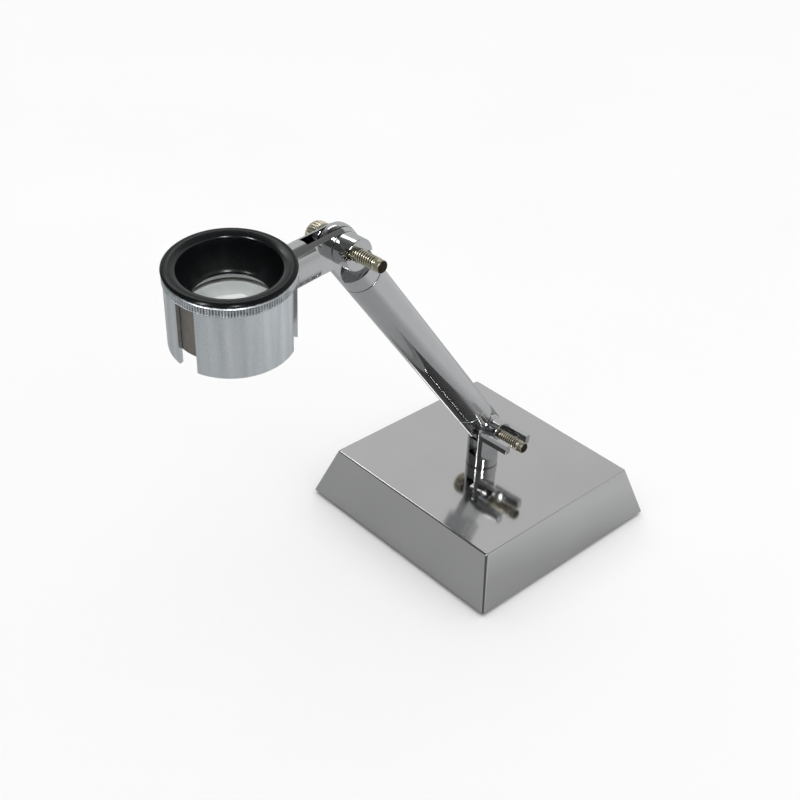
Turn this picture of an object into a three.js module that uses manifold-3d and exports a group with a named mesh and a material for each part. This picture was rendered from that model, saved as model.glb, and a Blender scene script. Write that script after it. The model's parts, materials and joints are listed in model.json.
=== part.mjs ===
// Bench stand for an eye loupe.
// A heavy plated block carries a short forked post, a straight arm on a tilting knuckle, and at the
// top a second knuckle with a stem that holds a slotted collet. The loupe sits in the collet.
// Units are millimetres. +Z is up, the block's underside is centred on the origin, and the arm
// leans towards -Y. Both knuckles turn about an axis that is parallel to X before the post's turn.
import * as THREE from 'three';
import { mergeVertices } from 'three/addons/utils/BufferGeometryUtils.js';
import Module from 'manifold-3d';

const wasm = await Module();
wasm.setup();

// ---- driving dimensions -------------------------------------------------------------------
const base = { width: 74, depth: 71.5, topWidth: 63.5, topDepth: 61.1, height: 16 };
const pad = { thickness: 0.8, inset: 3.5 };
const bore = { radius: 3.6, counterRadius: 5.75, counterDepth: 6 };
const washer = { radius: 5.3, thickness: 0.8 };
const postScrew = {
  radius: 1.95,
  headRadius: 3.6,
  headHeight: 2.8,
  length: 11,
  socket: 1.6,
  socketDepth: 1.6,
};

const rodRadius = 5.25;
const postRadius = 5.1;
const postSpigot = { length: 9.8, tapDepth: 13.2 };
const knuckle = {
  slotWidth: 3.0,
  tongueWidth: 2.6,
  slotDepth: 8.2,
  stemSlotDepth: 10.2,
  flatOffset: 2.8,
  flatReach: 9.2,
  headSeat: 4.6,
  headClearance: 0.4,
  shoulder: 9.2,
  holeRadius: 1.8,
};

const pivotHeight = 12.7;
const armLength = 104;
const collarLength = 4.8;
const tubeBore = 4.0;
const spigotLength = 10;

const postTurn = 3;
const armLean = 37.2;
const stemPitch = 4.4;
const colletRoll = 4.6;

const screw = {
  radius: 1.7,
  headRadius: 3.4,
  headRim: 1.9,
  headDome: 2.5,
  reach: 15.6,
  tipChamfer: 0.4,
};
const hubRadius = 4.1;
const lowerNut = { length: 10.1, slotDepth: 6.4, slotWidth: 7.2, radius: 5.6, prongWidth: 2.8, turn: -94 };
const upperNut = { length: 5.0, slotDepth: 1.5, slotWidth: 2.6, radius: 4.1, prongWidth: 8.2, turn: -24 };
const nutGap = 0.05;

const rim = {
  radius: 14.95,
  height: 9.0,
  thickness: 1.0,
  lipRadius: 11.6,
  chamfer: 0.45,
  rollWidth: 2.3,
  rollDepth: 0.8,
};
const collet = {
  reach: 32.0,
  radius: 14.6,
  wall: 1.05,
  bottom: 20.0,
  slots: 3,
  slotWidth: 5.2,
  slotTurn: 8,
};
const collar = { radius: 14.85, height: 2.4 };
const barrel = { radius: 13.45, bore: 12.6, bottom: 16.6, lip: 1.2, lipRadius: 10.6 };
const funnel = { depth: 8.8, radius: 8.8, neckRadius: 12.5, mouthRadius: 11.4, mouthDepth: 3.6, step: 0.6 };
const lens = { radius: 12.5, edge: 1.4, bulge: 1.2 };
const saddle = { thickness: 0.9, radius: 5.0 };
const rivet = { radius: 1.75, headRadius: 2.7, recess: 0.12, tip: 5.6 };

// Clearance around pieces that turn or slide, and around pieces that are fixed to each other.
const runningGap = 0.1;
const fitGap = 0.05;

const roundSegments = 40;
const loupeSegments = 60;

// Cutting tools reach past the piece by this much, and joined solids run into each other by overlap.
const far = 60;
const overlap = 1;

// Corners closer than this are one corner.
const weldDistance = 1e-5;

// ---- materials ----------------------------------------------------------------------------
function metal(color, roughness) {
  return new THREE.MeshStandardMaterial({ color, roughness, metalness: 1 });
}

const chrome = metal(0xc9cccd, 0.12);
const nickel = metal(0xb9b29c, 0.28);
const satinAluminium = metal(0xaeb3b6, 0.34);
const zincSteel = metal(0x8f9294, 0.45);
const blackLacquer = new THREE.MeshStandardMaterial({ color: 0x0c0e0f, roughness: 0.3, metalness: 0 });
const rubber = new THREE.MeshStandardMaterial({ color: 0x1a1a1a, roughness: 0.9, metalness: 0 });
const glass = new THREE.MeshStandardMaterial({
  color: 0xf2f6f4,
  roughness: 0.03,
  metalness: 0,
  transparent: true,
  opacity: 0.35,
});

// ---- closed solids and boolean cuts -------------------------------------------------------
function toSolid(geometry) {
  const bare = geometry.clone();
  bare.deleteAttribute('normal');
  bare.deleteAttribute('uv');
  const welded = mergeVertices(bare, weldDistance);
  return new wasm.Manifold(new wasm.Mesh({
    numProp: 3,
    vertProperties: new Float32Array(welded.attributes.position.array),
    triVerts: new Uint32Array(welded.index.array),
  }));
}

function toGeometry(solid) {
  const mesh = solid.getMesh();
  const geometry = new THREE.BufferGeometry();
  geometry.setAttribute('position', new THREE.BufferAttribute(new Float32Array(mesh.vertProperties), 3));
  geometry.setIndex(new THREE.BufferAttribute(new Uint32Array(mesh.triVerts), 1));
  geometry.computeVertexNormals();
  return geometry;
}

function piece(name, solid, material) {
  const mesh = new THREE.Mesh(toGeometry(solid), material);
  mesh.name = name;
  return mesh;
}

function box(width, depth, height, x, y, z) {
  return toSolid(new THREE.BoxGeometry(width, depth, height).translate(x, y, z));
}

// A round bar along Z between two heights.
function bar(radius, bottom, top, segments = roundSegments) {
  const shape = new THREE.CylinderGeometry(radius, radius, top - bottom, segments);
  return toSolid(shape.rotateX(Math.PI / 2).translate(0, 0, (top + bottom) / 2));
}

// A round bar along X between two places.
function crossBar(radius, start, end, segments = roundSegments) {
  const shape = new THREE.CylinderGeometry(radius, radius, end - start, segments);
  return toSolid(shape.rotateZ(Math.PI / 2).translate((start + end) / 2, 0, 0));
}

// A turned solid about Z. The outline is a list of [radius, height] pairs that closes on itself.
function turned(outline, segments = roundSegments) {
  const points = [...outline, outline[0]].map(([radius, height]) => new THREE.Vector2(radius, height));
  return toSolid(new THREE.LatheGeometry(points, segments).rotateX(Math.PI / 2));
}

// The same turned solid laid along X, with heights measured towards +X.
function turnedAlongX(outline, segments = roundSegments) {
  const points = [...outline, outline[0]].map(([radius, height]) => new THREE.Vector2(radius, height));
  return toSolid(new THREE.LatheGeometry(points, segments).rotateZ(-Math.PI / 2));
}

// Points along a quarter ellipse in an outline, as [radius, height] pairs.
function quarterArc(centreRadius, centreHeight, width, rise, startDegrees, steps = 5) {
  return Array.from({ length: steps + 1 }, (_, step) => {
    const angle = THREE.MathUtils.degToRad(startDegrees + (90 * step) / steps);
    return [centreRadius + width * Math.cos(angle), centreHeight + rise * Math.sin(angle)];
  });
}

// ---- base ---------------------------------------------------------------------------------
const baseTop = pad.thickness + base.height;
const boreCeiling = pad.thickness + bore.counterDepth;

function baseBlock() {
  const shape = new THREE.BoxGeometry(base.width, base.depth, base.height);
  const corners = shape.attributes.position;
  for (let i = 0; i < corners.count; i += 1) {
    if (corners.getZ(i) > 0) {
      corners.setX(i, (corners.getX(i) * base.topWidth) / base.width);
      corners.setY(i, (corners.getY(i) * base.topDepth) / base.depth);
    }
  }
  const block = toSolid(shape.translate(0, 0, pad.thickness + base.height / 2));
  const through = bar(bore.radius, 0, baseTop + overlap);
  const counterbore = bar(bore.counterRadius, 0, boreCeiling);
  return block.subtract(through).subtract(counterbore);
}

function basePad() {
  return box(base.width - 2 * pad.inset, base.depth - 2 * pad.inset, pad.thickness, 0, 0, pad.thickness / 2);
}

const screwSeat = boreCeiling - washer.thickness;

function postWasher() {
  return bar(washer.radius, screwSeat, boreCeiling).subtract(bar(postScrew.radius + runningGap, 0, baseTop));
}

// Cap screw with a hexagon socket, driven up into the post from underneath.
function postScrewSolid() {
  const headFace = screwSeat - postScrew.headHeight;
  const head = bar(postScrew.headRadius, headFace, screwSeat);
  const shank = bar(postScrew.radius, screwSeat - overlap, screwSeat + postScrew.length);
  const socket = bar(postScrew.socket, headFace - overlap, headFace + postScrew.socketDepth, 6);
  return head.add(shank).subtract(socket);
}

// ---- knuckles -----------------------------------------------------------------------------
// Cuts a fork into the +Z end of a bar whose pivot is at the origin.
function forked(body, slotDepth) {
  const slot = box(knuckle.slotWidth, far, far, 0, 0, far / 2 - slotDepth);
  const outerFlat = box(far, far, far, knuckle.flatOffset + far / 2, 0, far / 2 - knuckle.flatReach);
  const headSeat = crossBar(screw.headRadius + knuckle.headClearance, -far, -knuckle.headSeat);
  const hole = crossBar(knuckle.holeRadius, -far, far);
  return body.subtract(slot).subtract(outerFlat).subtract(headSeat).subtract(hole);
}

// A bar that ends in a ball nose centred on the pivot.
function ballNosed(radius, bottom) {
  const nose = quarterArc(0, 0, radius, radius, 0).slice(0, -1);
  return turned([[0, bottom], [radius, bottom], ...nose, [0, radius]]);
}

// Plug for one end of the arm tube: a spigot, a collar and a flat tongue with a ball nose.
// The pivot is at the origin and the plug points up.
function tonguePlug() {
  const collarBottom = -knuckle.shoulder - collarLength;
  const slab = box(knuckle.tongueWidth, far, far, 0, 0, far / 2 + collarBottom);
  const tongue = ballNosed(rodRadius, -knuckle.shoulder - overlap).intersect(slab);
  const collarPiece = bar(rodRadius, collarBottom, -knuckle.shoulder);
  const spigot = bar(tubeBore - fitGap, collarBottom - spigotLength, collarBottom + overlap);
  return tongue.add(collarPiece).add(spigot).subtract(crossBar(knuckle.holeRadius, -far, far));
}

// The screw's head stands off the fork with a straight rim for the fingers and a domed end.
function pivotScrew() {
  const domeSeat = -knuckle.headSeat - screw.headRim;
  const dome = quarterArc(0, domeSeat, screw.headRadius, screw.headDome, -90);
  return turnedAlongX([
    [0, domeSeat - screw.headDome],
    ...dome.slice(1),
    [screw.headRadius, -knuckle.headSeat],
    [screw.radius, -knuckle.headSeat],
    [screw.radius, screw.reach - screw.tipChamfer],
    [screw.radius - screw.tipChamfer, screw.reach],
    [0, screw.reach],
  ]);
}

// Thumb nut: a round hub with a slot milled across its outer end, which leaves two prongs.
function thumbNut({ length, slotDepth, slotWidth, radius, prongWidth, turn }) {
  const seat = knuckle.flatOffset + nutGap;
  const middle = seat + length / 2;
  const prongs = crossBar(radius, seat, seat + length).intersect(box(length, prongWidth, far, middle, 0, 0));
  const slot = box(slotDepth + overlap, far, slotWidth, seat + length + (overlap - slotDepth) / 2, 0, 0);
  return prongs
    .subtract(slot)
    .rotate([turn, 0, 0])
    .add(crossBar(hubRadius, seat, seat + length - slotDepth))
    .subtract(crossBar(screw.radius + runningGap, 0, far));
}

// ---- post and arm -------------------------------------------------------------------------
function post() {
  const body = forked(ballNosed(postRadius, -pivotHeight), knuckle.slotDepth);
  const spigot = bar(bore.radius - runningGap, -pivotHeight - postSpigot.length, -pivotHeight + overlap);
  const tapTop = -pivotHeight - postSpigot.length + postSpigot.tapDepth;
  const tapped = bar(postScrew.radius + fitGap, tapTop - postSpigot.tapDepth - overlap, tapTop);
  return body.add(spigot).subtract(tapped);
}

function armTube() {
  const end = knuckle.shoulder + collarLength + fitGap;
  return bar(rodRadius, end, armLength - end).subtract(bar(tubeBore, 0, armLength));
}

// ---- stem and collet ----------------------------------------------------------------------
// The stem is shaped along Z like the post, then laid down so that it runs towards -Y.
const stemEnd = collet.reach - collet.radius - saddle.thickness;

function layDown(solid) {
  return solid.rotate([-90, 0, 0]);
}

function holderStem() {
  const body = forked(ballNosed(rodRadius, -stemEnd), knuckle.stemSlotDepth);
  const rivetHole = bar(rivet.radius + fitGap, -stemEnd - overlap, -stemEnd + rivet.tip + runningGap);
  return layDown(body.subtract(rivetHole));
}

function stemSaddle() {
  const disc = layDown(bar(saddle.radius, -collet.reach, -stemEnd - fitGap));
  const wall = atLoupe(bar(collet.radius + fitGap, -far, far, loupeSegments));
  return disc.subtract(wall).subtract(layDown(bar(rivet.radius + runningGap, -far, 0)));
}

const colletInner = collet.radius - collet.wall;
const rivetFace = -(collet.reach - colletInner) + rivet.recess;
const rivetCone = rivet.headRadius - rivet.radius;

function colletRivet() {
  return layDown(turned([
    [0, rivetFace],
    [rivet.headRadius, rivetFace],
    [rivet.radius, rivetFace + rivetCone],
    [rivet.radius, -stemEnd + rivet.tip],
    [0, -stemEnd + rivet.tip],
  ]));
}

// The hole through the collet's wall, countersunk from the inside for the rivet's head.
function rivetPassage() {
  const gap = runningGap;
  return layDown(turned([
    [0, rivetFace - 1],
    [rivet.headRadius + gap + 1, rivetFace - 1],
    [rivet.radius + gap, rivetFace + rivetCone],
    [rivet.radius + gap, rivetFace + 2 * collet.wall],
    [0, rivetFace + 2 * collet.wall],
  ]));
}

// Heights in the loupe and the collet are measured down from the rim's plane.
function down(distance) {
  return rim.height - distance;
}

function atLoupe(solid) {
  return solid.translate([0, -collet.reach, 0]);
}

function colletSolid() {
  const seam = rim.thickness + fitGap;
  const ring = turned([
    [colletInner, down(seam)],
    [colletInner, down(collet.bottom)],
    [collet.radius, down(collet.bottom)],
    [collet.radius, down(seam + collar.height)],
    [collar.radius, down(seam + collar.height)],
    [collar.radius, down(seam)],
  ], loupeSegments);
  const slotHeight = collet.bottom - seam - collar.height;
  const slotCentre = down(collet.bottom) + slotHeight / 2 - overlap;
  let slotted = ring;
  for (let i = 0; i < collet.slots; i += 1) {
    const cutHeight = slotHeight + 2 * overlap;
    const slot = box(collet.slotWidth, collet.radius, cutHeight, 0, -collet.radius, slotCentre);
    const angle = collet.slotTurn + (360 * i) / collet.slots;
    slotted = slotted.subtract(slot.rotate([0, 0, angle]));
  }
  return atLoupe(slotted).subtract(rivetPassage());
}

// ---- loupe --------------------------------------------------------------------------------
// The rim rolls over into a funnel that narrows to the eye lens, and its neck screws into the barrel.
function eyecup() {
  const outline = [
    [rim.radius - rim.chamfer, down(0)],
    ...quarterArc(rim.lipRadius + rim.rollWidth, down(rim.rollDepth), rim.rollWidth, rim.rollDepth, 90),
    [funnel.mouthRadius, down(funnel.mouthDepth)],
    [funnel.radius + funnel.step, down(funnel.depth - 2 * funnel.step)],
    [funnel.radius, down(funnel.depth - funnel.step)],
    [funnel.radius, down(funnel.depth)],
    [funnel.neckRadius, down(funnel.depth)],
    [funnel.neckRadius, down(rim.thickness)],
    [rim.radius - rim.chamfer, down(rim.thickness)],
    [rim.radius, down(rim.thickness - rim.chamfer)],
    [rim.radius, down(rim.chamfer)],
  ];
  return atLoupe(turned(outline, loupeSegments));
}

function loupeBarrel() {
  const top = down(rim.thickness + fitGap);
  const bottom = down(barrel.bottom);
  return atLoupe(turned([
    [barrel.lipRadius, bottom],
    [barrel.radius, bottom],
    [barrel.radius, top],
    [barrel.bore, top],
    [barrel.bore, bottom + barrel.lip],
    [barrel.lipRadius, bottom + barrel.lip],
  ], loupeSegments));
}

// Height of a lens face above the plane of its edge, at a distance from the axis.
function lensRise(radius) {
  const sphere = (lens.radius ** 2 + lens.bulge ** 2) / (2 * lens.bulge);
  return Math.sqrt(sphere ** 2 - radius ** 2) - (sphere - lens.bulge);
}

function lensSolid(edgeBottom) {
  const steps = 4;
  const radii = Array.from({ length: steps + 1 }, (_, step) => (lens.radius * step) / steps);
  const lower = radii.map((radius) => [radius, edgeBottom - lensRise(radius)]);
  const upper = radii.map((radius) => [radius, edgeBottom + lens.edge + lensRise(radius)]);
  return atLoupe(turned([...lower, ...upper.reverse()], loupeSegments));
}

const fieldLensBottom = down(barrel.bottom) + barrel.lip + lensRise(barrel.lipRadius) + fitGap;
const eyeLensBottom = down(funnel.depth) - lensRise(funnel.radius) - fitGap - lens.edge;

function lensSpacer() {
  const seat = lensRise(barrel.lipRadius) + fitGap;
  const bottom = fieldLensBottom + lens.edge + seat;
  const top = eyeLensBottom - seat;
  const ring = bar(lens.radius, bottom, top, loupeSegments);
  return atLoupe(ring.subtract(bar(barrel.lipRadius, bottom - overlap, top + overlap, loupeSegments)));
}

// ---- assembly -----------------------------------------------------------------------------
// A group placed at a point and turned about one axis, in degrees.
function turnedGroup(place, axis, degrees, members) {
  const group = new THREE.Group();
  group.position.set(...place);
  group.rotation[axis] = THREE.MathUtils.degToRad(degrees);
  group.add(...members);
  return group;
}

function pointingDown(mesh) {
  mesh.rotation.x = Math.PI;
  return mesh;
}

const colletGroup = turnedGroup([0, 0, 0], 'y', colletRoll, [
  piece('stem_saddle', stemSaddle(), satinAluminium),
  piece('collet', colletSolid(), satinAluminium),
  piece('loupe_barrel', loupeBarrel(), zincSteel),
  piece('field_lens', lensSolid(fieldLensBottom), glass),
  piece('lens_spacer', lensSpacer(), satinAluminium),
  piece('eye_lens', lensSolid(eyeLensBottom), glass),
  piece('eyecup', eyecup(), blackLacquer),
]);

const lean = THREE.MathUtils.degToRad(armLean);
const elbow = [0, -armLength * Math.sin(lean), armLength * Math.cos(lean)];
const holderGroup = turnedGroup(elbow, 'x', stemPitch, [
  piece('holder_stem', holderStem(), chrome),
  piece('upper_screw', pivotScrew(), nickel),
  piece('upper_nut', thumbNut(upperNut), chrome),
  piece('collet_rivet', colletRivet(), zincSteel),
  colletGroup,
]);

const upperPlug = piece('arm_upper_end', tonguePlug(), chrome);
upperPlug.position.z = armLength;
const armGroup = turnedGroup([0, 0, 0], 'x', armLean, [
  pointingDown(piece('arm_lower_end', tonguePlug(), chrome)),
  piece('arm_tube', armTube(), chrome),
  upperPlug,
]);

const postGroup = turnedGroup([0, 0, baseTop + pivotHeight], 'z', postTurn, [
  piece('post', post(), chrome),
  piece('lower_screw', pivotScrew(), nickel),
  piece('lower_nut', thumbNut(lowerNut), chrome),
  armGroup,
  holderGroup,
]);

const stand = new THREE.Group();
stand.add(
  piece('base_pad', basePad(), rubber),
  piece('base_block', baseBlock(), chrome),
  piece('post_washer', postWasher(), zincSteel),
  piece('post_screw', postScrewSolid(), zincSteel),
  postGroup,
);

export default stand;
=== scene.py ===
"""Looks of the loupe bench stand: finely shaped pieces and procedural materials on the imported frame.

Each piece is shaped in its own millimetres, with the piece's axis along z, and is then put where
the frame says. Materials read those same millimetres from the attribute OWN.
"""
import json
import math

import bmesh
import bpy
from mathutils import Matrix, Vector


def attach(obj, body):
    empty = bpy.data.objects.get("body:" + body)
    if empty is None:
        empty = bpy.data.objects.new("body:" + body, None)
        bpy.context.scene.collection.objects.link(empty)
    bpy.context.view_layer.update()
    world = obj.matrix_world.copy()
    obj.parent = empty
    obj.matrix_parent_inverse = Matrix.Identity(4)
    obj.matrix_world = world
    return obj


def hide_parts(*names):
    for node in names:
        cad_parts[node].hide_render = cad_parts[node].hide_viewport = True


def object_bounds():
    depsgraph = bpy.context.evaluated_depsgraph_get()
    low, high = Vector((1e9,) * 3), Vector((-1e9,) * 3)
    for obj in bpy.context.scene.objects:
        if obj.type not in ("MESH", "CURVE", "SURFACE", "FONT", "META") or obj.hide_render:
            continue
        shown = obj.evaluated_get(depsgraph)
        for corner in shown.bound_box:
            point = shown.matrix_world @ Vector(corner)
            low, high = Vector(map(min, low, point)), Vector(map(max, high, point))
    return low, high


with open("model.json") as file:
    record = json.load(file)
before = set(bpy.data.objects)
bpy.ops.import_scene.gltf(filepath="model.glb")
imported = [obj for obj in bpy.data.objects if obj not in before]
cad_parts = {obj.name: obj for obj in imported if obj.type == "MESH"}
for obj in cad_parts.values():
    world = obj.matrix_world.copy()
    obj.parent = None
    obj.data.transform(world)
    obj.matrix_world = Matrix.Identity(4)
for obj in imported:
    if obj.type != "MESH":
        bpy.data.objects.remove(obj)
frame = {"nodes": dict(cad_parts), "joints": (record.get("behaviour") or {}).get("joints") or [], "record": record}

cad_low, cad_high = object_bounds()

MM = 0.001
OWN = "own_mm"
UP = Vector((0, 0, 1))

# ---- driving dimensions, in millimetres ----------------------------------------------------
ROUND = 96
FINE = 192
FAR = 60
EDGE = 0.14
BLOCK_EDGE_STEPS = 3
SHARP_ANGLE = 42

FORK_SLOT = 3.0
TONGUE = 2.6
POST_SLOT_DEPTH = 8.2
STEM_SLOT_DEPTH = 10.2
FLAT_OFFSET = 2.8
SHOULDER = 9.2
HEAD_SEAT = 4.6
HEAD_SEAT_RADIUS = 3.9
PIN_HOLE = 1.8
TUBE_BORE = 4.0
FOOT_CHAMFER = 0.4
COLLAR_LENGTH = 4.8
RUNNING_GAP = 0.1
FIT_GAP = 0.05
OVERLAP = 1
TAP_ABOVE_FOOT = 3

FIXING_RADIUS = 1.95
FIXING_HEAD = 2.8
FIXING_SOCKET = 1.6

SCREW_RADIUS = 1.7
HEAD_RIM = 1.9
THREAD_PITCH = 0.7
THREAD_DEPTH = 0.34
THREAD_ROWS = 8
THREAD_SEGMENTS = 48
POINT_LENGTH = 2.0
POINT_CHAMFER = 0.4
POINT_STEP = 0.3 * THREAD_DEPTH
THREAD_RUN_OUT = 0.2
HEAD_FLUTES = 24
FLUTE_RADIUS = 0.32
FLUTE_STOP = 0.5
DRIVER_SLOT = 0.8

HUB_RADIUS = 4.1
NUT_EDGE = 0.3
NUT_BEVEL = 0.22
LOWER_TURN = -94
UPPER_TURN = -24
LOWER_NUT = {"slot_depth": 6.4, "slot_width": 7.2, "width": 2.8}
UPPER_NUT = {"slot_depth": 1.5, "slot_width": 2.6, "width": 8.2}

COLLET_WALL = 1.05
COLLAR_HEIGHT = 2.4
COLLAR_STEP = 0.25
COLLET_SLOTS = 3
COLLET_SLOT_WIDTH = 5.2
COLLET_SLOT_TURN = 8
KNURL_TEETH = 140
KNURL_DEPTH = 0.3
COLLET_EDGE = 0.1
COLLET_BEVEL = 0.09
RIVET_RADIUS = 1.75
RIVET_HEAD = 2.7
RIVET_DEPTH = 5.7
RIVET_SLOT_HALF = 0.35
RIVET_SLOT_DEPTH = 0.4
SMALL_EDGE = 0.08

BARREL_BORE = 12.6
BARREL_LIP = 1.2
LIP_RADIUS = 10.6
BARREL_EDGE = 0.25
LENS_BULGE = 1.2
LENS_STEPS = 24
RIM_THICKNESS = 1.0
RIM_CHAMFER = 0.45
RIM_EDGE = 0.2
RIM_FALL = 0.05
LIP_INNER = 11.6
ROLL_WIDTH = 2.3
ROLL_DEPTH = 1.0
ROLL_STEPS = 12
FUNNEL_MOUTH = 11.4
FUNNEL_MOUTH_DEPTH = 3.6
FUNNEL_RADIUS = 8.8
FUNNEL_STEP = 0.6
FUNNEL_NECK = 12.5

# ---- camera and studio -----------------------------------------------------------------------
CAMERA_AZIMUTH = 45.58
CAMERA_ELEVATION = 34.30
CAMERA_ROLL = 2.86
CAMERA_LENS = 57.8
CAMERA_SENSOR = 36
CAMERA_NEAR = 0.01
CAMERA_DISTANCE = 446.4
CAMERA_TARGET = (-56.4, 19.1, 0.8)
FLOOR_SIZE = 4.0
TENT_WHITE = 0.70
TENT_DARK = 0.17
TENT_ROOF = 0.28
TENT_DARK_AZIMUTH = -42
TENT_DARK_ELEVATION = 20
SKY_STRENGTH = 2.5
SKY_SPREAD = 110
LAMP_DISTANCE = 0.9
SIDE_LAMP = {"width": 0.08, "height": 0.3, "strength": 3.2}
BACK_WINDOW = {"width": 0.5, "height": 0.1, "strength": 0.5}
# Painted shade in reflections: the floor's grey as mirrors see it, on the left and on the right.
FLOOR_IN_MIRRORS = 0.44
FLOOR_ON_RIGHT = 0.66


# ---- places from the frame -------------------------------------------------------------------
def local_frame(origin, x_axis, z_axis):
    """Matrix from a piece's own millimetres to the row frame, with x squared to z."""
    z = z_axis.normalized()
    y = z.cross(x_axis).normalized()
    turn = Matrix((y.cross(z), y, z)).transposed().to_4x4()
    return Matrix.Translation(origin) @ turn @ Matrix.Scale(MM, 4)


joints = {joint["name"]: joint for joint in frame["joints"]}
lower_pivot = Vector(joints["arm_tilt"]["pos_m"])
upper_pivot = Vector(joints["holder_tilt"]["pos_m"])
collet_centre = Vector(joints["collet_roll"]["pos_m"])
hinge = Vector(joints["arm_tilt"]["axis"])
stem_axis = (upper_pivot - collet_centre).normalized()
loupe_axis = Vector(joints["loupe_lift"]["axis"])

base_place = local_frame(Vector((0, 0, 0)), Vector((1, 0, 0)), UP)
post_place = local_frame(lower_pivot, hinge, UP)
arm_place = local_frame(lower_pivot, hinge, upper_pivot - lower_pivot)
arm_low_place = local_frame(lower_pivot, hinge, lower_pivot - upper_pivot)
arm_top_place = local_frame(upper_pivot, hinge, upper_pivot - lower_pivot)
stem_place = local_frame(upper_pivot, hinge, stem_axis)
loupe_place = local_frame(collet_centre, stem_axis.cross(loupe_axis), loupe_axis)


def screw_place(pivot, upward, turn=0):
    """A place whose z runs along the hinge and whose x is upward, turned about the hinge."""
    return local_frame(pivot, Matrix.Rotation(math.radians(turn), 3, hinge) @ upward, hinge)


def own_box(node, place):
    """Lowest and highest corner of a CAD node in a piece's own millimetres."""
    inverse = place.inverted()
    points = [inverse @ vertex.co for vertex in frame["nodes"][node].data.vertices]
    return Vector(map(min, *points)), Vector(map(max, *points))


# ---- meshes ----------------------------------------------------------------------------------
def to_mesh(shape):
    """A mesh from a bmesh, with its faces turned outwards. The bmesh is freed."""
    mesh = bpy.data.meshes.new("shape")
    bmesh.ops.recalc_face_normals(shape, faces=shape.faces)
    shape.to_mesh(mesh)
    shape.free()
    return mesh


def softened(outline, size, closed, steps=4):
    """The outline with a small curve at each corner. Points on the axis stay sharp."""
    points = [Vector(point) for point in outline]
    result = []
    for i, point in enumerate(points):
        at_end = not closed and i in (0, len(points) - 1)
        before = points[i - 1]
        after = points[(i + 1) % len(points)]
        into, out = before - point, after - point
        straight = at_end or into.normalized().dot(out.normalized()) < -0.9
        reach = 0 if straight else min(size, 0.4 * into.length, 0.4 * out.length)
        if reach == 0:
            result.append(point)
            continue
        start = point + into.normalized() * reach
        end = point + out.normalized() * reach
        for step in range(steps + 1):
            t = step / steps
            result.append(start * (1 - t) ** 2 + point * 2 * t * (1 - t) + end * t * t)
    return result


def turned(outline, segments=ROUND, edge=EDGE, closed=False, ripple=None):
    """A solid turned about z from [radius, height] pairs. Ripple gives what to take off the radius."""
    shape = bmesh.new()
    rings = []
    for radius, height in softened(outline, edge, closed):
        if radius < 1e-6:
            rings.append([shape.verts.new((0, 0, height))] * segments)
            continue
        ring = []
        for i in range(segments):
            angle = math.tau * i / segments
            r = radius - (ripple(angle, radius, height) if ripple else 0)
            ring.append(shape.verts.new((r * math.cos(angle), r * math.sin(angle), height)))
        rings.append(ring)
    pairs = list(zip(rings, rings[1:] + rings[:1])) if closed else list(zip(rings, rings[1:]))
    for lower, upper in pairs:
        for i in range(segments):
            j = (i + 1) % segments
            corners = dict.fromkeys((lower[i], lower[j], upper[j], upper[i]))
            if len(corners) > 2:
                shape.faces.new(corners)
    return to_mesh(shape)


def ring(inner, outer, bottom, top, segments=FINE, edge=EDGE):
    """A plain tube along z."""
    outline = [(inner, bottom), (outer, bottom), (outer, top), (inner, top)]
    return turned(outline, segments, edge, closed=True)


def rod(radius, bottom, top, segments=ROUND, edge=0):
    """A solid cylinder along z."""
    return turned([(0, bottom), (radius, bottom), (radius, top), (0, top)], segments, edge)


def cross_rod(radius, start, end):
    """A plain rod along x, for cutting."""
    mesh = rod(radius, start, end)
    mesh.transform(Matrix.Rotation(math.pi / 2, 4, "Y"))
    return mesh


def block(low, high, edge=0):
    """A box between two corners, rounded by edge when one is given."""
    shape = bmesh.new()
    bmesh.ops.create_cube(shape, size=1)
    size = Vector(high) - Vector(low)
    centre = (Vector(high) + Vector(low)) / 2
    bmesh.ops.scale(shape, vec=size, verts=shape.verts)
    bmesh.ops.translate(shape, vec=centre, verts=shape.verts)
    if edge:
        bmesh.ops.bevel(shape, geom=shape.edges[:], offset=edge, segments=BLOCK_EDGE_STEPS,
                        profile=0.5, affect="EDGES")
    return to_mesh(shape)


def evaluated(target):
    """The mesh of a temporary object with its modifiers applied. The object is removed."""
    graph = bpy.context.evaluated_depsgraph_get()
    graph.update()
    mesh = bpy.data.meshes.new_from_object(target.evaluated_get(graph))
    bpy.data.objects.remove(target)
    return mesh


def temporary(mesh):
    obj = bpy.data.objects.new("temporary", mesh)
    bpy.context.scene.collection.objects.link(obj)
    return obj


def boolean(mesh, tool, operation="DIFFERENCE"):
    target, cutter = temporary(mesh), temporary(tool)
    modifier = target.modifiers.new("cut", "BOOLEAN")
    modifier.operation = operation
    modifier.solver = "EXACT"
    modifier.object = cutter
    result = evaluated(target)
    bpy.data.objects.remove(cutter)
    return result


def joined(meshes):
    """One mesh of several that don't touch each other."""
    shape = bmesh.new()
    for mesh in meshes:
        shape.from_mesh(mesh)
    return to_mesh(shape)


def cut(mesh, *tools):
    """The mesh with each tool taken away from it in turn."""
    for tool in tools:
        mesh = boolean(mesh, tool)
    return mesh


def bevelled(mesh, width=EDGE, segments=2, angle=38):
    target = temporary(mesh)
    modifier = target.modifiers.new("edges", "BEVEL")
    modifier.width = width
    modifier.segments = segments
    modifier.limit_method = "ANGLE"
    modifier.angle_limit = math.radians(angle)
    modifier.use_clamp_overlap = True
    return evaluated(target)


# ---- pieces on the frame ---------------------------------------------------------------------
bodies = frame["record"]["behaviour"]["bodies"]
body_of = {node: body for body, nodes in bodies.items() for node in nodes}


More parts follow.
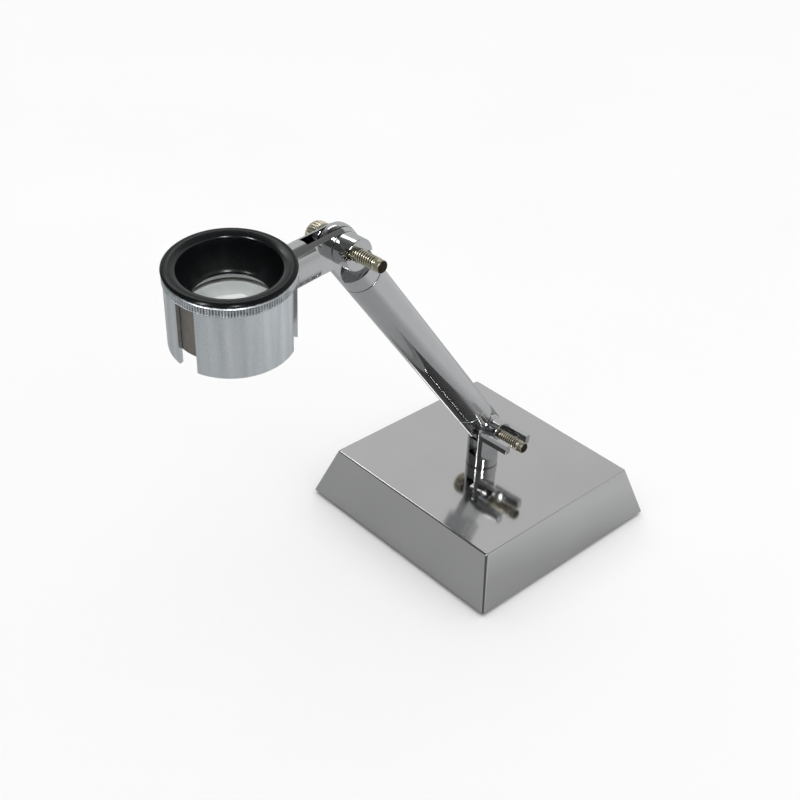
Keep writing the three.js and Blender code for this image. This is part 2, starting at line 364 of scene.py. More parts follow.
def piece(node, mesh, place, *materials):
    """Puts a finished mesh where its CAD node is, on the node's body."""
    mesh.name = node
    mesh.materials.clear()
    for material in materials:
        mesh.materials.append(material)
    own = mesh.attributes.new(OWN, "FLOAT_VECTOR", "POINT")
    own.data.foreach_set("vector", [value for vertex in mesh.vertices for value in vertex.co])
    mesh.transform(place)
    mesh.shade_smooth()
    mesh.set_sharp_from_angle(angle=math.radians(SHARP_ANGLE))
    weighted = temporary(mesh)
    weighted.modifiers.new("flat faces stay flat", "WEIGHTED_NORMAL").keep_sharp = True
    obj = bpy.data.objects.new(f"{node}_finished", evaluated(weighted))
    bpy.context.scene.collection.objects.link(obj)
    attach(obj, body_of[node])
    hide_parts(node)
    return obj


# ---- material building -----------------------------------------------------------------------
class Recipe:
    """A material or world under construction. Inputs are given by name, as values or sockets."""

    def __init__(self, owner):
        owner.use_nodes = True
        self.owner = owner
        self.tree = owner.node_tree
        self.tree.nodes.clear()

    def add(self, kind, settings=None, **inputs):
        node = self.tree.nodes.new("ShaderNode" + kind)
        for name, value in (settings or {}).items():
            setattr(node, name, value)
        for name, value in inputs.items():
            self.put(node.inputs[name.replace("_", " ")], value)
        return node

    def put(self, socket, value):
        if isinstance(value, bpy.types.NodeSocket):
            self.tree.links.new(value, socket)
        else:
            socket.default_value = value

    def own(self, scale=(1, 1, 1)):
        """The piece's own millimetres, stretched by scale."""
        place = self.add("Attribute", {"attribute_name": OWN}).outputs["Vector"]
        stretched = self.add("VectorMath", {"operation": "MULTIPLY"})
        self.put(stretched.inputs[0], place)
        self.put(stretched.inputs[1], scale)
        return stretched.outputs[0]

    def noise(self, scale, stretch=(1, 1, 1), detail=3, roughness=0.5):
        node = self.add("TexNoise", Vector=self.own(stretch), Scale=scale, Detail=detail)
        node.inputs["Roughness"].default_value = roughness
        return node.outputs["Fac"]

    def spread(self, value, low, high, start=0.3, end=0.7):
        """Value between start and end, spread over low to high."""
        node = self.add("MapRange", Value=value)
        self.put(node.inputs["From Min"], start)
        self.put(node.inputs["From Max"], end)
        self.put(node.inputs["To Min"], low)
        self.put(node.inputs["To Max"], high)
        return node.outputs["Result"]

    def mix(self, factor, first, second):
        """A colour between first and second."""
        node = self.add("Mix", {"data_type": "RGBA"})
        self.put(node.inputs[0], factor)
        self.put(node.inputs[6], first)
        self.put(node.inputs[7], second)
        return node.outputs[2]

    def sum(self, *values):
        total = values[0]
        for value in values[1:]:
            node = self.add("Math", {"operation": "ADD"})
            self.put(node.inputs[0], total)
            self.put(node.inputs[1], value)
            total = node.outputs[0]
        return total

    def times(self, first, second):
        node = self.add("Math", {"operation": "MULTIPLY"})
        self.put(node.inputs[0], first)
        self.put(node.inputs[1], second)
        return node.outputs[0]

    def radius(self):
        """Distance from the piece's own axis, in millimetres."""
        node = self.add("VectorMath", {"operation": "LENGTH"})
        self.put(node.inputs[0], self.own((1, 1, 0)))
        return node.outputs["Value"]

    def height(self):
        node = self.add("SeparateXYZ")
        self.put(node.inputs[0], self.own())
        return node.outputs["Z"]

    def bump(self, height, strength, depth=0.02):
        node = self.add("Bump", Height=height, Strength=strength)
        node.inputs["Distance"].default_value = depth * MM
        return node.outputs["Normal"]

    def surface(self, **inputs):
        shader = self.add("BsdfPrincipled", **inputs)
        output = self.add("OutputMaterial")
        self.tree.links.new(shader.outputs["BSDF"], output.inputs["Surface"])
        return self.owner


def new_recipe(name):
    return Recipe(bpy.data.materials.new(name))


def grey(level, warmth=0.0):
    """A grey, a little yellow when warmth is above 0 and a little blue below."""
    return (level * (1 + warmth), level, level * (1 - warmth), 1)


def polished_chrome():
    """Bright plating: a near mirror with faint smudges and hairline scratches along the bar."""
    recipe = new_recipe("polished_chrome")
    smudge = recipe.noise(0.22, detail=4)
    hairlines = recipe.noise(1.0, stretch=(9, 9, 0.35), detail=2)
    colour = recipe.mix(smudge, grey(0.51, -0.015), grey(0.58, -0.01))
    rough = recipe.sum(recipe.spread(smudge, 0.035, 0.085), recipe.spread(hairlines, 0, 0.03))
    return recipe.surface(
        Base_Color=colour, Metallic=1.0, Roughness=rough, Normal=recipe.bump(hairlines, 0.05)
    )


def base_top():
    """The block's top: polished and plated over faint grinding lines, a little hazy."""
    recipe = new_recipe("base_top")
    cloud = recipe.noise(0.05, detail=4)
    lines = recipe.noise(1.0, stretch=(0.12, 6, 1), detail=3)
    pits = recipe.noise(2.2, detail=2)
    colour = recipe.mix(cloud, grey(0.53, 0.0), grey(0.60, 0.004))
    rough = recipe.sum(recipe.spread(cloud, 0.05, 0.11), recipe.spread(lines, 0, 0.03))
    relief = recipe.sum(lines, recipe.spread(pits, 0, 0.5, 0.62, 0.75))
    return recipe.surface(
        Base_Color=colour, Metallic=1.0, Roughness=rough, Normal=recipe.bump(relief, 0.03)
    )


def base_sides():
    """The sloped sides: the same plating over a cast and linished face, so satin and cloudy."""
    recipe = new_recipe("base_sides")
    cloud = recipe.noise(0.14, stretch=(1, 1, 0.6), detail=6, roughness=0.72)
    grain = recipe.noise(2.6, detail=3, roughness=0.7)
    lines = recipe.noise(1.0, stretch=(0.25, 0.25, 5), detail=3)
    colour = recipe.mix(cloud, grey(0.31, -0.012), grey(0.47, -0.006))
    rough = recipe.sum(recipe.spread(cloud, 0.22, 0.34), recipe.spread(grain, 0, 0.08))
    relief = recipe.sum(grain, lines)
    return recipe.surface(
        Base_Color=colour, Metallic=1.0, Roughness=rough, Normal=recipe.bump(relief, 0.25)
    )


def screw_nickel(root, crest):
    """Slightly yellow nickel, with painted shade darkening the thread's valleys."""
    recipe = new_recipe("screw_nickel")
    fleck = recipe.noise(1.8, detail=4, roughness=0.7)
    # Painted shade: the thread's valleys are coloured near black, the crests keep the metal.
    crest_unshaded = recipe.spread(recipe.radius(), 0, 1, 0.7 * root + 0.3 * crest, 0.15 * root + 0.85 * crest)
    metal = recipe.mix(fleck, (0.50, 0.47, 0.35, 1), (0.74, 0.71, 0.58, 1))
    colour = recipe.mix(crest_unshaded, (0.035, 0.03, 0.018, 1), metal)
    rough = recipe.sum(recipe.spread(crest_unshaded, 0.5, 0.2, 0, 1), recipe.spread(fleck, 0, 0.14))
    return recipe.surface(
        Base_Color=colour, Metallic=1.0, Roughness=rough, Normal=recipe.bump(fleck, 0.2)
    )


def satin_sleeve(root, crest, collar_bottom):
    """The collet: drawn tube brushed round, with painted shade, near black in patches, between the teeth of its
    knurl.
    """
    recipe = new_recipe("satin_sleeve")
    rings = recipe.noise(1.0, stretch=(0.12, 0.12, 7), detail=4, roughness=0.6)
    streaks = recipe.noise(1.0, stretch=(0.3, 0.3, 0.02), detail=5)
    grain = recipe.noise(2.4, detail=3, roughness=0.7)
    cloud = recipe.noise(0.12, detail=3)
    tone = recipe.sum(recipe.spread(streaks, 0.05, 0.85), recipe.spread(grain, -0.15, 0.15))
    metal = recipe.mix(tone, (0.53, 0.575, 0.60, 1), (0.85, 0.88, 0.90, 1))
    on_collar = recipe.spread(recipe.height(), 0, 1, collar_bottom - 0.05, collar_bottom + 0.05)
    open_tooth = recipe.spread(recipe.radius(), 1, 0, root, crest)
    patchy = recipe.spread(recipe.noise(0.9, detail=2), 0.35, 1.0)
    # Painted shade: near black between the teeth of the knurl, in patches, and a little rougher there.
    knurl_shade = recipe.times(recipe.times(on_collar, open_tooth), patchy)
    colour = recipe.mix(knurl_shade, metal, (0.06, 0.068, 0.072, 1))
    rough = recipe.sum(recipe.spread(cloud, 0.24, 0.32), recipe.spread(rings, 0, 0.08))
    return recipe.surface(
        Base_Color=colour,
        Metallic=1.0,
        Roughness=recipe.sum(rough, recipe.times(knurl_shade, 0.3)),
        Normal=recipe.bump(rings, 0.18),
    )


def turned_barrel():
    """The loupe's barrel: dull brown-grey metal with the rings of the turning tool."""
    recipe = new_recipe("turned_barrel")
    rings = recipe.noise(1.0, stretch=(0.05, 0.05, 9), detail=3)
    stain = recipe.noise(0.35, stretch=(1, 1, 0.4), detail=5, roughness=0.7)
    colour = recipe.mix(stain, (0.16, 0.14, 0.125, 1), (0.36, 0.33, 0.30, 1))
    rough = recipe.spread(stain, 0.42, 0.3)
    return recipe.surface(
        Base_Color=colour, Metallic=0.9, Roughness=rough, Normal=recipe.bump(rings, 0.5, 0.04)
    )


def black_lacquer(neck, lip):
    """Black plastic: dull on the outer rim, shiny from the lip inwards, with mould grain and dust."""
    recipe = new_recipe("black_lacquer")
    grain = recipe.noise(2.0, detail=4, roughness=0.6)
    dust = recipe.spread(recipe.noise(3.5, detail=1), 0, 1, 0.73, 0.8)
    inside = recipe.spread(recipe.radius(), 1, 0, neck - 1.2, neck + 0.4)
    shiny = recipe.spread(recipe.radius(), 0.42, 0.13, lip - 1.4, lip - 0.5)
    black = recipe.mix(grain, (0.003, 0.0038, 0.0042, 1), (0.008, 0.0095, 0.0105, 1))
    colour = recipe.mix(recipe.times(dust, 0.3), black, grey(0.06))
    rough = recipe.sum(recipe.spread(inside, 0.16, 0.22, 0, 1), recipe.spread(grain, 0, 0.06))
    return recipe.surface(
        Base_Color=colour, Roughness=rough, Specular_IOR_Level=shiny, Normal=recipe.bump(grain, 0.12)
    )


def lens_glass():
    """Clear crown glass with a breath of dust on it."""
    recipe = new_recipe("lens_glass")
    haze = recipe.noise(0.4, detail=4)
    dust = recipe.spread(recipe.noise(2.6, detail=1), 0, 0.12, 0.74, 0.8)
    rough = recipe.sum(recipe.spread(haze, 0.0, 0.02), dust)
    return recipe.surface(
        Base_Color=(0.96, 0.985, 0.975, 1),
        Roughness=rough,
        IOR=1.5,
        Transmission_Weight=1.0,
    )


def bright_spacer():
    """The ring between the lenses: pale aluminium with fine turning rings."""
    recipe = new_recipe("bright_spacer")
    rings = recipe.noise(1.0, stretch=(0.05, 0.05, 8), detail=3)
    colour = recipe.mix(rings, grey(0.74), grey(0.88))
    return recipe.surface(
        Base_Color=colour, Metallic=0.6, Roughness=0.45, Normal=recipe.bump(rings, 0.3, 0.03)
    )


def pad_rubber():
    """Matt black rubber with a fine grain."""
    recipe = new_recipe("pad_rubber")
    grain = recipe.noise(3.0, detail=5, roughness=0.7)
    colour = recipe.mix(grain, (0.02, 0.02, 0.021, 1), (0.05, 0.05, 0.05, 1))
    return recipe.surface(
        Base_Color=colour,
        Roughness=recipe.spread(grain, 0.75, 0.95),
        Normal=recipe.bump(grain, 0.6, 0.1),
    )


def zinc_hardware():
    """Zinc plate on the hidden screw, washer and rivet."""
    recipe = new_recipe("zinc_hardware")
    spangle = recipe.noise(0.9, detail=5, roughness=0.65)
    colour = recipe.mix(spangle, (0.34, 0.35, 0.36, 1), (0.55, 0.56, 0.57, 1))
    return recipe.surface(
        Base_Color=colour,
        Metallic=1.0,
        Roughness=recipe.spread(spangle, 0.3, 0.5),
        Normal=recipe.bump(spangle, 0.3),
    )


# ---- base ------------------------------------------------------------------------------------
BASE_EDGE = 0.4
BASE_CORNER = 0.8
BORE_RADIUS = 3.6
COUNTERBORE_RADIUS = 5.75
COUNTERBORE_DEPTH = 6
TOP_FACING = 0.6
PAD_EDGE = 0.2


def frustum(low, high, top_half):
    """A block whose top is smaller than its bottom, with rounded corners and edges."""
    shape = bmesh.new()
    bmesh.ops.create_cube(shape, size=2)
    for vertex in shape.verts:
        half = top_half if vertex.co.z > 0 else high
        vertex.co.x *= half.x
        vertex.co.y *= half.y
        vertex.co.z = high.z if vertex.co.z > 0 else low.z
    upright = [edge for edge in shape.edges if abs(edge.verts[0].co.z - edge.verts[1].co.z) > 1]
    bmesh.ops.bevel(shape, geom=upright, offset=BASE_CORNER, segments=5, profile=0.5, affect="EDGES")
    flat = [edge for edge in shape.edges if abs(edge.verts[0].co.z - edge.verts[1].co.z) < 0.01]
    bmesh.ops.bevel(shape, geom=flat, offset=BASE_EDGE, segments=1, profile=0.5, affect="EDGES")
    return shape


def base_block():
    """The heavy block, with the bore for the post and a counterbore for its screw."""
    low, high = own_box("base_block", base_place)
    node = frame["nodes"]["base_block"]
    crown = [vertex.co / MM for vertex in node.data.vertices if vertex.co.z / MM > high.z - 0.01]
    top_half = Vector((max(point.x for point in crown), max(point.y for point in crown)))
    mesh = to_mesh(frustum(low, high, top_half))
    bore = rod(BORE_RADIUS, low.z - OVERLAP, high.z + OVERLAP)
    counterbore = rod(COUNTERBORE_RADIUS, low.z - OVERLAP, low.z + COUNTERBORE_DEPTH)
    mesh = cut(mesh, bore, counterbore)
    for face in mesh.polygons:
        face.material_index = 0 if face.normal.z > TOP_FACING else 1
    piece("base_block", mesh, base_place, base_top(), base_sides())


def base_pad(rubber):
    """The thin pad under the block."""
    low, high = own_box("base_pad", base_place)
    piece("base_pad", block(low, high, PAD_EDGE), base_place, rubber)


def post_fixing(zinc):
    """The washer and the socket screw that hold the post from underneath."""
    low, high = own_box("post_washer", base_place)
    washer = ring(FIXING_RADIUS + RUNNING_GAP, high.x, low.z, high.z, ROUND)
    piece("post_washer", washer, base_place, zinc)
    low, high = own_box("post_screw", base_place)
    head_top = low.z + FIXING_HEAD
    head = [(0, low.z), (high.x, low.z), (high.x, head_top)]
    screw = threaded(head, FIXING_RADIUS, head_top + OVERLAP, high.z)
    socket = rod(FIXING_SOCKET, low.z - OVERLAP, low.z + FIXING_SOCKET, 6)
    piece("post_screw", cut(screw, socket), base_place, zinc)


# ---- knuckles --------------------------------------------------------------------------------
def quarter(radius, rise, steps=14):
    """Points from the equator of a ball towards its pole, without the pole."""
    turns = [math.pi / 2 * step / steps for step in range(steps)]
    return [(radius * math.cos(turn), rise * math.sin(turn)) for turn in turns]


def ball_nose(radius, bottom, foot=2 * EDGE):
    """A bar that ends in a ball nose centred on its pivot."""
    nose = quarter(radius, radius)
    return turned([(0, bottom), (radius - foot, bottom), (radius, bottom + foot), *nose, (0, radius)])


def forked(mesh, slot_depth):
    """Cuts a bar into a fork, with a flat for the nut, a seat for the screw head and its hole."""
    slot = block((-FORK_SLOT / 2, -FAR, -slot_depth), (FORK_SLOT / 2, FAR, FAR))
    flat = block((FLAT_OFFSET, -FAR, -SHOULDER), (FAR, FAR, FAR))
    seat = cross_rod(HEAD_SEAT_RADIUS, -FAR, -HEAD_SEAT)
    return cut(mesh, slot, flat, seat, cross_rod(PIN_HOLE, -FAR, FAR))


def post(chrome):
    """The forked post. Its radius is read from the top of the CAD's slotted nose, which is lower
    than the ball was, so the finished post is about 0.24 mm slimmer in radius than the CAD's.
    """
    low, high = own_box("post", post_place)
    foot = base_height - lower_pivot.z / MM
    mesh = forked(ball_nose(high.z, foot, FOOT_CHAMFER), POST_SLOT_DEPTH)
    spigot = rod(BORE_RADIUS - RUNNING_GAP, low.z, foot + OVERLAP)
    mesh = boolean(mesh, spigot, "UNION")
    tapped = rod(FIXING_RADIUS + RUNNING_GAP, low.z - OVERLAP, foot + TAP_ABOVE_FOOT)
    piece("post", bevelled(cut(mesh, tapped)), post_place, chrome)


def holder_stem(chrome):
    """The forked stem, slimmer than the CAD's by the same amount as the post and for the same reason."""
    low, high = own_box("holder_stem", stem_place)
    mesh = forked(ball_nose(high.z, low.z), STEM_SLOT_DEPTH)
    rivet_hole = rod(RIVET_RADIUS + FIT_GAP, low.z - OVERLAP, low.z + RIVET_DEPTH)
    piece("holder_stem", bevelled(cut(mesh, rivet_hole)), stem_place, chrome)


def tongue_plug(node, place, chrome):
    """One end of the arm: a spigot in the tube, a collar, and a flat tongue with a ball nose."""
    low, high = own_box(node, place)
    bottom = -SHOULDER - COLLAR_LENGTH
    left = block((-FAR, -FAR, -SHOULDER), (-TONGUE / 2, FAR, FAR))
    right = block((TONGUE / 2, -FAR, -SHOULDER), (FAR, FAR, FAR))
    mesh = cut(ball_nose(high.z, bottom), left, right, cross_rod(PIN_HOLE, -FAR, FAR))
    spigot = rod(TUBE_BORE - FIT_GAP, low.z, bottom + OVERLAP)
    piece(node, bevelled(boolean(mesh, spigot, "UNION")), place, chrome)


def arm_tube(chrome):
    """The straight round arm."""
    low, high = own_box("arm_tube", arm_place)
    piece("arm_tube", ring(TUBE_BORE, high.x, low.z, high.z, ROUND), arm_place, chrome)


# ---- screws and thumb nuts -------------------------------------------------------------------
def threaded(head, radius, start, tip):
    """A screw along z: a head outline from the axis, a thread, and a plain point with a chamfer."""
    end = tip - POINT_LENGTH
    rows = math.ceil((end - start) / THREAD_PITCH * THREAD_ROWS)
    shank = [(radius, start + (end - start) * row / rows) for row in range(rows + 1)]
    point = radius - POINT_STEP
    plain = [
        (point, end + THREAD_RUN_OUT),
        (point, tip - POINT_CHAMFER),
        (point - POINT_CHAMFER, tip),
        (0, tip),
    ]
    outline = [*head, (radius, head[-1][1]), *shank, *plain]

    def groove(angle, at_radius, height):
        if not start <= height <= end or at_radius < radius - 0.01:
            return 0
        turn = (height / THREAD_PITCH - angle / math.tau) % 1
        valley = min(1, max(0, 1.25 * abs(2 * turn - 1) - 0.2))
        fade = min(1, (height - start) / THREAD_PITCH, (end - height) / THREAD_PITCH)
        return THREAD_DEPTH * valley * fade

    return turned(outline, THREAD_SEGMENTS, ripple=groove)


def clamp_screw(node, place, nickel):
    """A domed, slotted screw through a knuckle, with a fluted rim for the fingers."""
    low, high = own_box(node, place)
    radius = high.x
    rim = -HEAD_SEAT - HEAD_RIM
    dome = [(r, rim - rise) for r, rise in quarter(radius, rim - low.z)]
    mesh = threaded([(0, low.z), *dome[::-1], (radius, -HEAD_SEAT)], SCREW_RADIUS, FLAT_OFFSET, high.z)
    flutes = []
    for i in range(HEAD_FLUTES):
        turn = math.tau * i / HEAD_FLUTES
        flute = rod(FLUTE_RADIUS, low.z - OVERLAP, -HEAD_SEAT - FLUTE_STOP, 8)
        reach = radius + 0.3 * FLUTE_RADIUS
        flute.transform(Matrix.Translation((reach * math.cos(turn), reach * math.sin(turn), 0)))
        flutes.append(flute)
    slot_floor = low.z + DRIVER_SLOT
    slot = block((-FAR, -DRIVER_SLOT / 2, low.z - OVERLAP), (FAR, DRIVER_SLOT / 2, slot_floor))
    piece(node, cut(mesh, joined(flutes), slot), place, nickel)


def thumb_nut(node, place, chrome, slot_depth, slot_width, width):
    """A round hub with a slot milled across its outer end, which leaves two prongs along x."""
    low, high = own_box(node, place)
    radius = high.x
    hub_top = high.z - slot_depth
    mesh = rod(radius, low.z, high.z, edge=NUT_EDGE)
    if width < radius:
        web = block((-FAR, -width / 2, -FAR), (FAR, width / 2, FAR))
        mesh = boolean(mesh, web, "INTERSECT")
    mesh = cut(mesh, block((-slot_width / 2, -FAR, hub_top), (slot_width / 2, FAR, FAR)))
    if width < radius:
        mesh = boolean(mesh, rod(HUB_RADIUS, low.z, hub_top, edge=NUT_EDGE), "UNION")
    mesh = cut(mesh, rod(SCREW_RADIUS + RUNNING_GAP, -FAR, FAR))
    piece(node, bevelled(mesh, NUT_BEVEL, 3), place, chrome)


# ---- collet ----------------------------------------------------------------------------------
def rivet_passage(face, gap):
    """The countersunk hole for the rivet, in the stem's own millimetres."""
    cone = RIVET_HEAD - RIVET_RADIUS
    throat = RIVET_RADIUS + gap
    end = face + 3 * COLLET_WALL
    mouth = RIVET_HEAD + gap + OVERLAP
    start = face - OVERLAP
    outline = [(0, start), (mouth, start), (throat, face + cone), (throat, end), (0, end)]
    return turned(outline, edge=0)


def collet(sleeve):
    """A slotted ring with a knurled collar at its top."""
    low, high = own_box("collet", loupe_place)
    outer = high.x - COLLAR_STEP
    inner = outer - COLLET_WALL
    collar_bottom = high.z - COLLAR_HEIGHT
    chamfer = KNURL_DEPTH

    def teeth(angle, radius, _):
        if radius < high.x - 0.01:
            return 0
        return KNURL_DEPTH * abs(2 * (angle * KNURL_TEETH / math.tau % 1) - 1)

    outline = [
        (inner, low.z),
        (outer, low.z),
        (outer, collar_bottom),
        (high.x - chamfer, collar_bottom),
        (high.x, collar_bottom + chamfer),
        (high.x, high.z - chamfer),
        (high.x - chamfer, high.z),
        (inner, high.z),
    ]
    mesh = turned(outline, KNURL_TEETH * 4, edge=COLLET_EDGE, closed=True, ripple=teeth)
    slots = []
    for i in range(COLLET_SLOTS):
        half = COLLET_SLOT_WIDTH / 2
        slot = block((-half, -1.5 * outer, low.z - OVERLAP), (half, -0.5 * outer, collar_bottom))
        turn = math.radians(COLLET_SLOT_TURN) + math.tau * i / COLLET_SLOTS
        slot.transform(Matrix.Rotation(turn, 4, "Z"))
        slots.append(slot)
    mesh = cut(mesh, joined(slots))
    passage = rivet_passage(own_box("collet_rivet", stem_place)[0].z, RUNNING_GAP)
    passage.transform(loupe_place.inverted() @ stem_place)
    mesh = bevelled(cut(mesh, passage), COLLET_BEVEL)
    piece("collet", mesh, loupe_place, sleeve)


def stem_saddle(sleeve):
    """The curved washer between the flat end of the stem and the round collet."""
    high = own_box("stem_saddle", stem_place)[1]
    centre = stem_place.inverted() @ collet_centre
    disc = rod(high.x, centre.z, high.z, edge=EDGE)
    radius = own_box("collet", loupe_place)[1].x - COLLAR_STEP
    wall = rod(radius + FIT_GAP, -FAR, FAR, FINE)
    wall.transform(stem_place.inverted() @ loupe_place)
    mesh = cut(disc, wall, rod(RIVET_RADIUS + RUNNING_GAP, -FAR, FAR))
    piece("stem_saddle", mesh, stem_place, sleeve)


def collet_rivet(zinc):
    """The countersunk rivet that holds the collet on the stem, with a shallow driver slot."""
    low, high = own_box("collet_rivet", stem_place)
    cone = RIVET_HEAD - RIVET_RADIUS
    shank = [(RIVET_RADIUS, low.z + cone), (RIVET_RADIUS, high.z), (0, high.z)]
    mesh = turned([(0, low.z), (RIVET_HEAD, low.z), *shank], edge=SMALL_EDGE)
    slot_start = (-FAR, -RIVET_SLOT_HALF, low.z - OVERLAP)
    slot = block(slot_start, (FAR, RIVET_SLOT_HALF, low.z + RIVET_SLOT_DEPTH))
    piece("collet_rivet", cut(mesh, slot), stem_place, zinc)


# ---- loupe -----------------------------------------------------------------------------------
def loupe_barrel(metal):
    """The barrel, with a lip at its lower end for the field lens."""
    low, high = own_box("loupe_barrel", loupe_place)
    shelf = low.z + BARREL_LIP
    outline = [(LIP_RADIUS, low.z), (high.x, low.z), (high.x, high.z),
               (BARREL_BORE, high.z), (BARREL_BORE, shelf), (LIP_RADIUS, shelf)]
    piece("loupe_barrel", turned(outline, FINE, BARREL_EDGE, closed=True), loupe_place, metal)


def lens(node, glass):
    """A biconvex lens with a ground edge."""
    low, high = own_box(node, loupe_place)
    sphere = (high.x ** 2 + LENS_BULGE ** 2) / (2 * LENS_BULGE)
    radii = [high.x * step / LENS_STEPS for step in range(LENS_STEPS + 1)]
    drop = [sphere - math.sqrt(sphere ** 2 - radius ** 2) for radius in radii]
    lower = [(radius, low.z + fall) for radius, fall in zip(radii, drop)]
    upper = [(radius, high.z - fall) for radius, fall in zip(radii, drop)]
    piece(node, turned([*lower, *upper[::-1]], FINE, 0), loupe_place, glass)


def lens_spacer(bright):
    """The ring that holds the two lenses apart."""
    low, high = own_box("lens_spacer", loupe_place)
    spacer = ring(LIP_RADIUS, high.x, low.z, high.z, edge=SMALL_EDGE)
    piece("lens_spacer", spacer, loupe_place, bright)


def eyecup(black):
    """The rim rolls over into a funnel that narrows in a step to the eye lens."""
    low, high = own_box("eyecup", loupe_place)
    under = high.z - RIM_THICKNESS
    roll = []
    for step in range(ROLL_STEPS + 1):
        bend = math.pi / 2 * step / ROLL_STEPS
        inwards = ROLL_WIDTH * (1 - math.sin(bend))
        fall = ROLL_DEPTH * (1 - math.cos(bend))
        roll.append((LIP_INNER + inwards, high.z - fall))
    outline = [
        (high.x - RIM_CHAMFER, high.z - RIM_FALL),
        *roll,
        (FUNNEL_MOUTH, high.z - FUNNEL_MOUTH_DEPTH),
        (FUNNEL_RADIUS + FUNNEL_STEP, low.z + 2 * FUNNEL_STEP),
        (FUNNEL_RADIUS, low.z + FUNNEL_STEP),
        (FUNNEL_RADIUS, low.z),
        (FUNNEL_NECK, low.z),
        (FUNNEL_NECK, under),
        (high.x - RIM_CHAMFER, under),
        (high.x, under + RIM_CHAMFER),
        (high.x, high.z - RIM_CHAMFER),
    ]
    piece("eyecup", turned(outline, FINE, RIM_EDGE, closed=True), loupe_place, black)


# ---- studio ----------------------------------------------------------------------------------
def floor_material():
    """White paper. Mirrors see it greyer, and darker to the left of the camera than to the right: painted shade in
    the reflections, so that the chrome keeps its contrast.
    """
    recipe = new_recipe("pale_floor")
    place = recipe.add("NewGeometry").outputs["Position"]
    mottle = recipe.add("TexNoise", Vector=place, Scale=9.0, Detail=3.0).outputs["Fac"]
    paper = recipe.mix(mottle, grey(0.90), grey(0.93))
    sideways = recipe.add("VectorMath", {"operation": "DOT_PRODUCT"})
    recipe.put(sideways.inputs[0], place)
    recipe.put(sideways.inputs[1], from_camera(90, 0))
    on_right = recipe.spread(sideways.outputs["Value"], 0, 1, 0.04, 0.1)
    # Painted shade in the reflections: the floor that mirrors see is grey, darker on the left than on the right.
    dim = recipe.mix(on_right, grey(FLOOR_IN_MIRRORS, -0.01), grey(FLOOR_ON_RIGHT, -0.01))
    in_mirror = recipe.add("LightPath").outputs["Is Glossy Ray"]
    colour = recipe.mix(in_mirror, paper, dim)
    return recipe.surface(Base_Color=colour, Roughness=0.6, Specular_IOR_Level=0.2)


def floor():
    """A level sheet under the object."""
    mesh = bpy.data.meshes.new("floor")
    half = FLOOR_SIZE / 2
    corners = [(-half, -half, 0), (half, -half, 0), (half, half, 0), (-half, half, 0)]
    mesh.from_pydata(corners, [], [(0, 1, 2, 3)])
    mesh.materials.append(floor_material())
    obj = bpy.data.objects.new("floor", mesh)
    bpy.context.scene.collection.objects.link(obj)


def cloudy_sky():
    """Even light from above, on the dull surfaces only: the mirrors see the tent instead."""
    light = bpy.data.lights.new("cloudy_sky", "SUN")
    light.energy = SKY_STRENGTH
    light.angle = math.radians(SKY_SPREAD)
    obj = bpy.data.objects.new("cloudy_sky", light)
    obj.visible_glossy = False
    bpy.context.scene.collection.objects.link(obj)


def mirrored_lamp(name, direction, width, height, strength):
    """A rectangular light that only shows as a highlight."""
    lamp = bpy.data.lights.new(name, "AREA")
    lamp.shape = "RECTANGLE"
    lamp.size = width
    lamp.size_y = height
    lamp.energy = strength
    obj = bpy.data.objects.new(name, lamp)
    away = Vector(direction).normalized()
    obj.location = centre + away * LAMP_DISTANCE
    obj.rotation_mode = "QUATERNION"
    obj.rotation_quaternion = away.to_track_quat("Z", "Y")
    obj.visible_diffuse = False
    obj.visible_camera = False
    bpy.context.scene.collection.objects.link(obj)


def studio_world(towards_dark):
    """A white tent, plain to the camera, with an open and dark side, and a dim roof."""
    world = bpy.data.worlds.new("studio")
    bpy.context.scene.world = world
    recipe = Recipe(world)
    direction = recipe.add("TexCoord").outputs["Generated"]
    height = recipe.add("SeparateXYZ", Vector=direction).outputs["Z"]
    facing = recipe.add("VectorMath", {"operation": "DOT_PRODUCT"})
    recipe.put(facing.inputs[0], direction)
    recipe.put(facing.inputs[1], towards_dark)
    folds = recipe.add("TexNoise", Vector=direction, Scale=2.2, Detail=1.0).outputs["Fac"]
    front = recipe.spread(facing.outputs["Value"], 1.0, TENT_DARK, -0.05, 0.55)
    roof = recipe.spread(height, 1.0, TENT_ROOF, 0.7, 0.82)
    cloth = recipe.times(recipe.spread(folds, 0.85, 1.1), TENT_WHITE)
    tent = recipe.times(recipe.times(front, roof), cloth)
    camera_ray = recipe.add("LightPath").outputs["Is Camera Ray"]
    background = recipe.add("Background", Color=recipe.mix(camera_ray, tent, grey(1.0)))
    output = recipe.add("OutputWorld")
    recipe.tree.links.new(background.outputs[0], output.inputs["Surface"])


def view_axes(azimuth, elevation, roll):
    """Right, up and backward directions of a camera, in the row frame."""
    a, e, r = (math.radians(angle) for angle in (azimuth, elevation, roll))
    back = Vector((math.sin(a) * math.cos(e), -math.cos(a) * math.cos(e), math.sin(e)))
    right = Vector((math.cos(a), math.sin(a), 0))
    up = back.cross(right)
    return right * math.cos(r) + up * math.sin(r), up * math.cos(r) - right * math.sin(r), back


def from_camera(azimuth, elevation):
    """A direction, by its azimuth to the right of the camera's and its own elevation, in degrees."""
    return view_axes(CAMERA_AZIMUTH + azimuth, elevation, 0)[2]


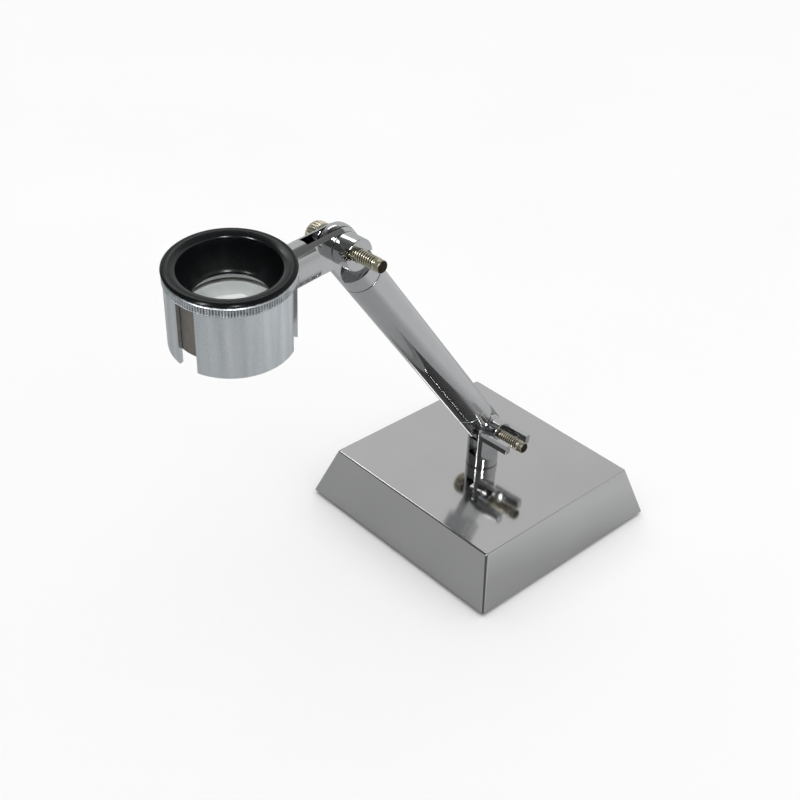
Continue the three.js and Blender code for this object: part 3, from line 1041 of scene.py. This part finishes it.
def camera(right, up, back):
    """The camera at the photograph's viewing angle."""
    data = bpy.data.cameras.new("camera")
    data.lens = CAMERA_LENS
    data.sensor_width = CAMERA_SENSOR
    data.clip_start = CAMERA_NEAR
    obj = bpy.data.objects.new("camera", data)
    turn = Matrix((right, up, back)).transposed().to_4x4()
    place = Vector(CAMERA_TARGET) * MM + back * CAMERA_DISTANCE * MM
    obj.matrix_world = Matrix.Translation(place) @ turn
    bpy.context.scene.collection.objects.link(obj)
    bpy.context.scene.camera = obj


# ---- build -----------------------------------------------------------------------------------
base_height = own_box("base_block", base_place)[1].z
centre = (cad_low + cad_high) / 2
chrome = polished_chrome()
nickel = screw_nickel(SCREW_RADIUS - THREAD_DEPTH, SCREW_RADIUS)
collar_box = own_box("collet", loupe_place)
sleeve = satin_sleeve(collar_box[1].x - KNURL_DEPTH, collar_box[1].x, collar_box[1].z - COLLAR_HEIGHT)
black = black_lacquer(FUNNEL_MOUTH, LIP_INNER + ROLL_WIDTH)
glass = lens_glass()
zinc = zinc_hardware()

base_block()
base_pad(pad_rubber())
post_fixing(zinc)
post(chrome)
tongue_plug("arm_lower_end", arm_low_place, chrome)
arm_tube(chrome)
tongue_plug("arm_upper_end", arm_top_place, chrome)
holder_stem(chrome)
level = hinge.cross(stem_axis)
clamp_screw("lower_screw", screw_place(lower_pivot, UP), nickel)
clamp_screw("upper_screw", screw_place(upper_pivot, level), nickel)
thumb_nut("lower_nut", screw_place(lower_pivot, UP, LOWER_TURN), chrome, **LOWER_NUT)
thumb_nut("upper_nut", screw_place(upper_pivot, level, UPPER_TURN), chrome, **UPPER_NUT)
collet_rivet(zinc)
stem_saddle(sleeve)
collet(sleeve)
loupe_barrel(turned_barrel())
lens("field_lens", glass)
lens_spacer(bright_spacer())
lens("eye_lens", glass)
eyecup(black)

right, up, back = view_axes(CAMERA_AZIMUTH, CAMERA_ELEVATION, CAMERA_ROLL)
floor()
studio_world(from_camera(TENT_DARK_AZIMUTH, TENT_DARK_ELEVATION))
cloudy_sky()
mirrored_lamp("left_lamp", from_camera(-42, 46), **SIDE_LAMP)
mirrored_lamp("right_lamp", from_camera(12, 44), **SIDE_LAMP)
mirrored_lamp("back_window", from_camera(-150, 50), **BACK_WINDOW)
camera(right, up, back)
scene = bpy.context.scene
scene.view_settings.view_transform = "Standard"
